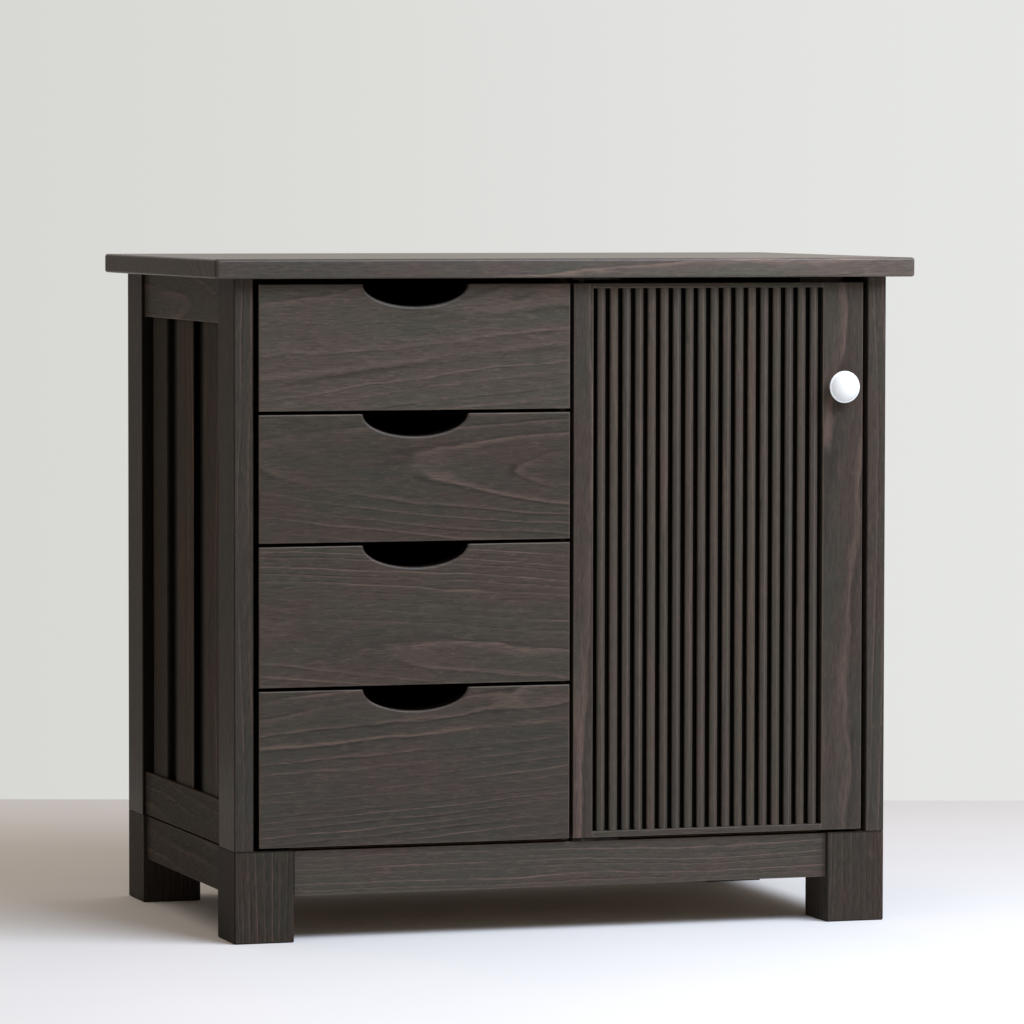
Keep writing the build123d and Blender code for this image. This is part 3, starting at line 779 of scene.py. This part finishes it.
@dataclass
class Carcass:
    """The fixed case: footed base, side frames, back, top, and what is inside.

    Attributes:
        board_pitch: from one upright side board to the next.
        groove: how far behind their faces painted shade in the grooves between the side boards starts,
            and where it is darkest.
        outer: the same for painted shade on the outer faces of the left foot and post, from inside outwards.
        inner: the same for painted shade on the faces of the back posts that look forwards.
        joint: the same for painted shade in the joint between the left foot and the front rail.
    """

    board_pitch: float = 0.0935
    groove: Pair = (0.0004, 0.0034)
    outer: Pair = (0.0020, 0.0005)
    inner: Pair = (0.0012, 0.0003)
    joint: Pair = (0.0026, 0.0012)

    def base(self) -> None:
        """Dresses the feet and rails, with painted shade at the left foot's joint and outer face."""
        joint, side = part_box("base_rail_front")[0].x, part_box("foot_front_left")[0].x
        front = Board(Lie.Z_FACE_Y, (0.05, 0.04), shift=0.2, ring=0.006, tone=0.92)
        back = Board(Lie.Z_FACE_Y, (-0.05, 0.05), shift=1.1, ring=0.006, tone=0.66)
        rail = Board(Lie.X_FACE_Y, (0.07, 0.05), (0.6, 0.4), 2.0, 0.0050, tone=1.38)
        dress_all(
            replace(PAINTED_SHADE_EDGES, gloss=0.05, oil=0.1),
            {**pair("foot_front", front, 1.0), **pair("foot_back", back)},
            # Painted shade on the left foot's outer face, which lies in shadow.
            {"foot_front_left": PaintedShading.by(0, side, self.outer, 0.38)},
        )
        dress_all(
            OUTSIDE,
            {"base_rail_front": rail, "base_rail_back": Board(Lie.X_FACE_Y, shift=2.9)},
            # Painted shade in the gap between the left foot and the front rail.
            {"base_rail_front": PaintedShading.by(0, joint, self.joint, 0.9)},
        )
        dress_all(SHELTERED, pair("base_rail", Board(Lie.Y_FACE_X, shift=3.4, tone=0.86)))

    def side_frames(self) -> None:
        """Dresses the posts, side rails, upright boards and liners, with painted shade on faces in shadow.
        """
        low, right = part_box("side_boards_left")[0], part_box("side_boards_right")[1].x
        side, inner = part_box("post_front_left")[0].x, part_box("post_back_left")[0].y
        post = Board(Lie.Z_FACE_Y, (0.04, 0.05), (0.6, 0.3), 4.1, 0.0065, tone=0.86)
        back_post = Board(Lie.Z_FACE_X, (0.05, 0.04), (0.6, 0.3), 5.3, 0.0065, tone=0.96)
        upper = Board(Lie.Y_FACE_X, (0.01, 0.06), (2.0, 1.0), 6.2, tone=1.22)
        lower = Board(Lie.Y_FACE_X, (0.03, 0.06), (1.0, -1.0), 7.1, tone=0.85)
        strips = (low.y, self.board_pitch)
        boards = Board(Lie.Z_FACE_X, (0.05, 0.05), (0.6, 0.3), 8.3, strips=strips)
        # Painted shade on the left front post's outer face.
        outer = PaintedShading.by(0, side, self.outer, 0.12)
        dress_all(PAINTED_SHADE_EDGES, pair("post_front", post, 1.04), {"post_front_left": outer})
        # Painted shade on the back posts' faces that look forwards.
        post_shade = PaintedShading.by(1, inner, self.inner, 0.80)
        dress_all(
            OUTSIDE,
            {**pair("post_back", back_post), **pair("side_rail_upper", upper)},
            {"post_back_left": post_shade, "post_back_right": post_shade},
        )
        # Painted shade in the grooves between the side boards and towards each board's far edge.
        start, end = self.groove
        dress_all(
            replace(SHELTERED, seam_shade=(0.56, 0.64)),
            {**pair("side_rail_lower", lower), **pair("side_boards", boards)},
            {
                "side_boards_left": PaintedShading.by(0, low.x, (start, end), 0.8),
                "side_boards_right": PaintedShading.by(0, right, (-start, -end), 0.8),
            },
        )
        dress_all(SHADED_PLY, pair("side_liner", Board(Lie.Z_FACE_X, shift=9.0)))

    def back(self) -> None:
        """Dresses the back rails and the sheets of ply at the back and the bottom."""
        rails = {"back_rail_upper": 9.7, "back_rail_lower": 10.3}
        dress_all(OUTSIDE, {name: Board(Lie.X_FACE_Y, shift=shift) for name, shift in rails.items()})
        dress_all(PLY, {"back_panel": Board(Lie.Z_FACE_Y, (0.0, 0.12), (0.5, 0.2), 11.0)})
        dress_all(LIGHT_PLY, {"bottom_panel": Board(Lie.X_FACE_Z, (0.0, 0.12), shift=12.0)})

    def top(self) -> None:
        """Dresses the top board, with a painted highlight growing towards its right end."""
        low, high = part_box("top_board")
        # Painted sheen: a cooler body and cool colour stand in for the sky's bluish reflection on the top;
        # the band adds painted highlight to the right.
        dress_all(
            replace(OUTSIDE, oil=0.5, body=(0.0463, 0.0367, 0.0317), cool=(0.0386, 0.0376, 0.0305)),
            {"top_board": Board(Lie.X_FACE_Z, (0.06, 0.08), (0.8, 0.7), 13.3, tone=1.26)},
            {"top_board": PaintedShading(0, low.x, high.x, -0.60)},
        )

    def inside(self) -> None:
        """Dresses the partition, shelf, cleats, runners and the dowels in the posts."""
        dress_all(
            INSIDE,
            {
                "partition": Board(Lie.Z_FACE_X, shift=14.0),
                "shelf": Board(Lie.X_FACE_Z, shift=15.0),
                "top_cleats": Board(Lie.Y_FACE_Z, shift=16.0),
                "drawer_runners": Board(Lie.Y_FACE_X, shift=17.0),
            },
        )
        dress_all(PEG, {"corner_dowels": Board(Lie.Z_FACE_Y, ring=0.002)})

    def build(self) -> None:
        """Dresses the whole case."""
        self.base()
        self.side_frames()
        self.back()
        self.top()
        self.inside()


@dataclass
class Drawer:
    """One drawer: a front with a finger cut-out and a plain box behind it.

    Attributes:
        number: 1 for the top drawer to 4 for the bottom one.
        front: the cut of its front.
        finish: the finish of its front.
        cut: how far behind the front's face painted shade on its cut edges starts, and is darkest.
    """

    number: int
    front: Board
    finish: StainedWood = OUTSIDE
    cut: Pair = (0.0006, 0.0020)

    def build(self) -> None:
        """Dresses the front, with painted shade inside its finger cut-out, and the box."""
        name = f"drawer_{self.number}_"
        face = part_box(name + "front")[0].y
        # Painted shade on the front's surfaces behind its face: the cut-out and its edges.
        painted_shading = PaintedShading.by(1, face, self.cut, 0.92)
        dress_all(self.finish, {name + "front": self.front}, {name + "front": painted_shading})
        dress_all(
            INSIDE,
            {
                name + "sides": Board(Lie.Y_FACE_X, shift=24.0 + self.number),
                name + "back": Board(Lie.X_FACE_Y, shift=29.0 + self.number),
            },
        )
        dress_all(PLY, {name + "bottom": Board(Lie.X_FACE_Z, shift=34.0 + self.number)})


@dataclass
class ReededDoor:
    """The cupboard door: two stiles, thin lips and a panel of upright reeds.

    Attributes:
        reed_width: how wide a reed is.
        reed_gap: the groove between two reeds.
        groove: how far behind the panel's front painted shade in the grooves starts, and is darkest.
    """

    reed_width: float = 0.0076
    reed_gap: float = 0.00409
    groove: Pair = (0.0016, 0.0044)

    def build(self) -> None:
        """Dresses the door, each reed as its own strip of wood."""
        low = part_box("door_reeded_panel")[0]
        strips = (low.x + self.reed_gap / 2, self.reed_width + self.reed_gap)
        upright = Lie.Z_FACE_Y
        dress_all(
            OUTSIDE,
            {
                "door_left_stile": Board(upright, (0.02, 0.05), (0.6, 0.3), 40.0, tone=1.05),
                "door_right_stile": Board(upright, (0.015, 0.06), (1.5, 1.2), 41.0, 0.009, tone=1.02),
                "door_edge_strips": Board(Lie.X_FACE_Y, shift=42.0, tone=1.15),
            },
        )
        dress_all(
            REEDED,
            {"door_reeded_panel": Board(upright, (0.05, 0.04), (0.5, 0.2), 43.0, 0.006, strips, 0.90)},
            # Painted shade in the grooves between the reeds.
            {"door_reeded_panel": PaintedShading.by(1, low.y, self.groove, 0.93)},
        )
        dress_all(PLY, {"door_backing": Board(Lie.Z_FACE_Y, shift=44.0)})


@dataclass
class Knob:
    """The round glazed knob, a turned shape about the axis that points out of the door.

    Attributes:
        foot: the radius and height of its foot.
        waist: how far the neck's hollow bends in from its chord.
        rim: the height of the rim's middle over the door, and its thickness.
        soft: how far the foot's corners are rounded.
        sole: how far inside the foot's rim its sole has a ring of points.
        points: how many the foot's corners, the neck, the rim and the dome have in the section.
        turns: how many points go round.
    """

    foot: Pair = (0.0080, 0.0016)
    waist: float = 0.0045
    rim: Pair = (0.0120, 0.0024)
    soft: float = 0.0003
    sole: float = 0.001
    points: tuple[int, int, int, int] = (5, 24, 14, 40)
    turns: int = 96

    def section(self, radius: float, reach: float) -> np.ndarray:
        """Draws the knob's section.

        Args:
            radius: the rim's radius.
            reach: the height of the dome's middle over the door.

        Returns:
            Points of radius and height, from the middle of the foot to the middle of the dome.
        """
        half = self.rim[1] / 2
        shoulder = radius - half
        under, over = (shoulder, self.rim[0] - half), (shoulder, self.rim[0] + half)
        (foot, top), soft = self.foot, self.soft
        corner, neck, edge, dome = self.points
        bulge = -soft * QUARTER_BULGE
        return np.vstack(
            [
                [(0.0, 0.0), (foot - self.sole, 0.0), (foot - soft, 0.0)],
                arc((foot - soft, 0.0), (foot, soft), bulge, corner),
                arc((foot, top - soft), (foot - soft, top), bulge, corner),
                arc((foot - soft, top), under, self.waist, neck),
                arc(under, over, -half, edge),
                arc(over, (0.0, reach), -self.crown(shoulder, reach - over[1]), dome),
            ]
        )

    def crown(self, shoulder: float, rise: float) -> float:
        """Works out the dome's height over its slanted chord.

        The dome is level in its middle, so its circle has radius (s^2 + h^2) / 2h for the shoulder
        s and the rise h, and the arc's height is that radius less the distance to the chord.
        """
        radius = (shoulder**2 + rise**2) / (2 * rise)
        return radius - math.sqrt(radius**2 - (shoulder**2 + rise**2) / 4)

    def build(self) -> None:
        """Turns the section round the knob's axis and glazes it.

        A point is (x + r cos t, y - h, z + r sin t) for the section's radius r and height h and
        the turn t from 0 to 2 pi.
        """
        low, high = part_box("door_knob")
        middle, radius = (low + high) / 2, (high.x - low.x) / 2
        section = self.section(radius, high.y - low.y)
        keep = np.r_[True, np.hypot(*np.diff(section, axis=0).T) > WELD]
        reach, height = section[keep].T[:, :, None]
        turn = np.linspace(0.0, 2 * math.pi, self.turns, endpoint=False)
        across, up = middle.x + reach * np.cos(turn), middle.z + reach * np.sin(turn)
        grid = np.stack([across, high.y - height + 0 * turn, up], axis=-1)
        made = place_mesh("turned_knob", grid[None], "door")
        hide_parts("door_knob")
        made.data.materials.append(CERAMIC.dress("glaze"))
        LOG.info("built %s", made.name)


@dataclass
class Screws:
    """Pan-headed screws with a cross recess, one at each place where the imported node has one.

    Attributes:
        node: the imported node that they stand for.
        body: the body that they move with.
        axis: the axis that they lie along, as a number.
        way: 1 where the heads face up the axis, -1 where they face down it.
        head: the head's radius and height.
        shank: the shank's radius.
        tip: the radius of the blunt tip and the length of the point, against the shank's radius.
        side: how much of the head's height is upright.
        bevel: how far the edge of the head's seat is cut off.
        arm: the cross's half width and length, against the head's radius.
        depth: the cross's depth, against the head's height.
        face: how high over its seat the head can be pressed in, against its height.
        dome: how many points the head's dome has in the section.
        turns: how many points go round.
    """

    node: str
    body: str
    axis: int
    way: int
    head: Pair = (0.004, 0.0024)
    shank: float = 0.002
    tip: Pair = (0.35, 1.5)
    side: float = 0.45
    bevel: float = 0.0002
    arm: Pair = (0.13, 0.58)
    depth: float = 0.6
    face: float = 0.4
    dome: int = 22
    turns: int = 64

    def section(self, length: float) -> np.ndarray:
        """Draws half a screw, as radius and height over the head's seat, from its tip to its top."""
        (radius, height), shank = self.head, self.shank
        side, tip = height * self.side, height - length
        blunt, point = self.tip
        steps = np.linspace(0.0, math.pi / 2, self.dome)
        return np.vstack(
            [
                [(0.0, tip), (shank * blunt, tip), (shank, tip + point * shank), (shank, 0.0)],
                [(radius - self.bevel, 0.0), (radius, self.bevel), (radius, side)],
                np.stack([radius * np.cos(steps), side + (height - side) * np.sin(steps)], axis=-1)[1:],
            ]
        )

    def build(self) -> None:
        """Turns the section at every place and presses the cross into the heads.

        A point of a head is at (u, v) = (r cos t, r sin t) with its height lowered by
        d a(min(|u|, |v|) / w) b(max(|u|, |v|) / l), where a and b fall smoothly from 1 to 0 about
        1 as 1 / (1 + x^6) and 1 / (1 + x^12), w is an arm's half width, l its length and d the
        recess's depth.
        """
        low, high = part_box(self.node)
        source = NODES[self.node].data
        points = np.empty(len(source.vertices) * 3)
        source.vertices.foreach_get("co", points)
        points = points.reshape(-1, 3)
        across = [i for i in range(3) if i != self.axis]
        spots = np.meshgrid(*(clusters(points[:, i]) for i in across), indexing="ij")
        centres = np.stack(spots, -1).reshape(-1, 2)
        radius, height = self.head
        end = (high if self.way > 0 else low)[self.axis]
        reach, rise = self.section(high[self.axis] - low[self.axis]).T[:, :, None]
        turn = np.linspace(0.0, 2 * math.pi, self.turns, endpoint=False)
        u, v = reach * np.cos(turn), reach * np.sin(turn)
        aside = np.minimum(abs(u), abs(v)) / (self.arm[0] * radius)
        along = np.maximum(abs(u), abs(v)) / (self.arm[1] * radius)
        pressed = (1 / (1 + aside**6)) * (1 / (1 + along**12)) * (rise > height * self.face)
        rise = rise - self.depth * height * pressed
        grids = np.empty((len(centres), *u.shape, 3))
        grids[..., across[0]] = centres[:, 0, None, None] + u
        grids[..., across[1]] = centres[:, 1, None, None] + v
        grids[..., self.axis] = end + self.way * (rise - height)
        made = place_mesh(self.node + "_pan_heads", grids, self.body)
        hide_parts(self.node)
        made.data.materials.append(STEEL.dress("zinc_" + self.node))
        LOG.info("built %s: %d screws", made.name, len(centres))


@dataclass
class Fittings:
    """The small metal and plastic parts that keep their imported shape.

    Attributes:
        finishes: each part's name and its finish.
    """

    finishes: tuple[tuple[str, FittingFinish], ...] = (
        ("door_pivots", DARK_STEEL),
        ("shelf_pins", STEEL),
        ("strike_plate", STEEL),
        ("magnetic_catch", PLASTIC),
    )

    def build(self) -> None:
        """Dresses them one by one."""
        for name, finish in self.finishes:
            coat(NODES[name], finish.dress("finish_" + name))
            LOG.info("dressed %s", name)


def main() -> None:
    """Builds the chest's looks in order, then the studio."""
    lie = Lie.X_FACE_Y
    even = replace(OUTSIDE, line_strength=0.42, body=(0.0440, 0.0350, 0.0295))
    soft = replace(OUTSIDE, line_strength=0.6)
    pieces = [
        Carcass(),
        Drawer(1, Board(lie, (-0.030, 0.070), (0.8, -6.5), 20.0, 0.0085, tone=1.42), even),
        Drawer(2, Board(lie, (-0.014, 0.0495), (5.5, 2.5), 21.0, 0.0075, tone=1.04), soft),
        Drawer(3, Board(lie, (0.030, 0.045), (1.0, 5.0), 22.2, 0.0050, tone=1.16)),
        Drawer(4, Board(lie, (-0.045, 0.040), (0.5, -4.5), 23.4, 0.0068, tone=1.08)),
        ReededDoor(),
        Knob(),
        Screws("back_screws", "carcass", 1, 1, (0.003, 0.0012), 0.0015),
        Screws("top_screws", "carcass", 2, -1),
        Screws("knob_screw", "door", 1, 1),
        Fittings(),
        Studio(),
    ]
    for piece in pieces:
        piece.build()
    write_sizes()


def write_sizes() -> None:
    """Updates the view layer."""
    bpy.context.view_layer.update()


# ---- studio
@dataclass
class Studio:
    """A pale floor, a pale distance behind it, one large soft light and the camera.

    Attributes:
        eye: the camera's place.
        turn: degrees that it looks to the right of +Y.
        drop: degrees that it looks down.
        roll: degrees that it leans.
        lens: its focal length in millimetres.
        sensor: the width of its picture plane in millimetres.
        clip: the nearest and the farthest distance that it sees.
        floor_end: a point on the line where the floor ends behind the chest.
        floor_size: how far the floor goes to each side of that point, and in front of it.
        paint: the floor's two colours.
        drift: the noise between them.
        sides: where the light changes between left and right, and its two colours.
        overhead: where it changes towards the top, and its colour there.
        behind: where it changes towards the chest's back, and its colour there.
        distance: the same as sides, for what the camera sees over the floor.
        key_way: degrees of the large light to the right of the front, and above it.
        key_gap: how far it is from the chest.
        key_aim: the height that it looks at.
        key_size: its width and its height.
        key_power: its power in watts.
        key_colour: its colour.
    """

    eye: Triple = (-1.6343, -5.1292, 0.6586)
    turn: float = 17.758
    drop: float = 3.171
    roll: float = 0.084
    lens: float = 209.65
    sensor: float = 36.0
    clip: Pair = (0.1, 100.0)
    floor_end: Pair = (0.298, 0.903)
    floor_size: Pair = (14.0, 22.0)
    paint: tuple[Colour, Colour] = ((0.825, 0.825, 0.830), (0.845, 0.845, 0.850))
    drift: Grain = Grain(3.0)
    sides: tuple[Any, ...] = ((-0.30, 0.25), (0.070, 0.055, 0.043), (0.455, 0.400, 0.350))
    overhead: tuple[Any, ...] = ((0.05, 0.80), (0.600, 0.5175, 0.449))
    behind: tuple[Any, ...] = ((0.82, 0.97), (0.80, 0.76, 0.71))
    distance: tuple[Any, ...] = ((-0.11, 0.10), (0.685, 0.685, 0.655), (0.785, 0.795, 0.775))
    key_way: Pair = (33.0, 40.0)
    key_gap: float = 2.0
    key_aim: float = 0.3
    key_size: Pair = (1.85, 0.85)
    key_power: float = 52.0
    key_colour: Colour = (0.767, 0.860, 1.0)

    def level(self) -> tuple[Vector, Vector]:
        """Works out the camera's right, and its way forward along the floor."""
        turn = math.radians(self.turn)
        return Vector((math.cos(turn), -math.sin(turn), 0.0)), Vector((math.sin(turn), math.cos(turn), 0.0))

    def camera(self) -> None:
        """Puts the camera where the photograph was taken from."""
        drop, roll = math.radians(self.drop), math.radians(self.roll)
        level, back = self.level()
        ahead = Vector((back.x * math.cos(drop), back.y * math.cos(drop), -math.sin(drop)))
        plumb = level.cross(ahead)
        right = level * math.cos(roll) + plumb * math.sin(roll)
        up = plumb * math.cos(roll) - level * math.sin(roll)
        data = bpy.data.cameras.new("camera")
        data.lens, data.sensor_width = self.lens, self.sensor
        data.clip_start, data.clip_end = self.clip
        made = linked("camera", data)
        turn = Matrix((right, up, -ahead)).transposed().to_4x4()
        made.matrix_world = Matrix.Translation(self.eye) @ turn
        bpy.context.scene.camera = made

    def floor(self) -> None:
        """Lays the floor, whose far end is level in the picture."""
        right, back = self.level()
        end = Vector((*self.floor_end, 0.0))
        wide, deep = right * self.floor_size[0], back * self.floor_size[1]
        corners = (end - wide - deep, end + wide - deep, end + wide, end - wide)
        mesh = bpy.data.meshes.new("floor")
        mesh.from_pydata([tuple(c) for c in corners], [], [(0, 1, 2, 3)])
        made = linked("floor", mesh)
        material, sheet = new_material("floor_paint")
        tone = sheet.ease(sheet.noise(sheet.place(), self.drift), *MIDDLING)
        colour = sheet.blend(tone, *self.paint)
        sheet.surface({"Base Color": colour, "Roughness": 0.75, "Specular IOR Level": 0.0})
        mesh.materials.append(material)

    def sky(self) -> None:
        """Lights the chest from all round, brighter from behind it, and gives the distance its tone."""
        right, back = self.level()
        world = bpy.data.worlds.new("studio")
        bpy.context.scene.world = world
        world.use_nodes = True
        sheet = Sheet(world.node_tree)
        way = sheet.node("TexCoord").outputs["Generated"]
        side = sheet.vector("DOT_PRODUCT", way, right, output=1)
        depth = sheet.vector("DOT_PRODUCT", way, back, output=1)
        apart = sheet.node("SeparateXYZ", {0: way}).outputs
        glow = sheet.blend(sheet.ease(apart[0], *self.sides[0]), *self.sides[1:])
        glow = sheet.blend(sheet.ease(apart[2], *self.overhead[0]), glow, *self.overhead[1:])
        glow = sheet.blend(sheet.ease(depth, *self.behind[0]), glow, *self.behind[1:])
        seen = sheet.blend(sheet.ease(side, *self.distance[0]), *self.distance[1:])
        ray = sheet.node("LightPath").outputs["Is Camera Ray"]
        shown = sheet.node("Background", {"Color": seen, "Strength": 1.0}).outputs[0]
        cast = sheet.node("Background", {"Color": glow, "Strength": 1.0}).outputs[0]
        mixed = sheet.node("MixShader", {0: ray, 1: cast, 2: shown}).outputs[0]
        sheet.node("OutputWorld", {0: mixed})

    def key(self) -> None:
        """Hangs the large soft light, to the front right and above."""
        bearing, height = (math.radians(angle) for angle in self.key_way)
        level = math.cos(height)
        way = Vector((math.sin(bearing) * level, -math.cos(bearing) * level, math.sin(height)))
        data = bpy.data.lights.new("key", "AREA")
        data.shape = "RECTANGLE"
        data.size, data.size_y = self.key_size
        data.energy, data.color = self.key_power, self.key_colour
        made = linked("key", data)
        made.rotation_mode = "QUATERNION"
        made.location = Vector((0.0, 0.0, self.key_aim)) + way * self.key_gap
        made.rotation_quaternion = way.to_track_quat("Z", "Y")

    def build(self) -> None:
        """Builds the studio and sets plain colours for the picture."""
        self.floor()
        self.sky()
        self.key()
        self.camera()
        bpy.context.scene.view_settings.view_transform = "Standard"


if __name__ == "__main__":
    main()
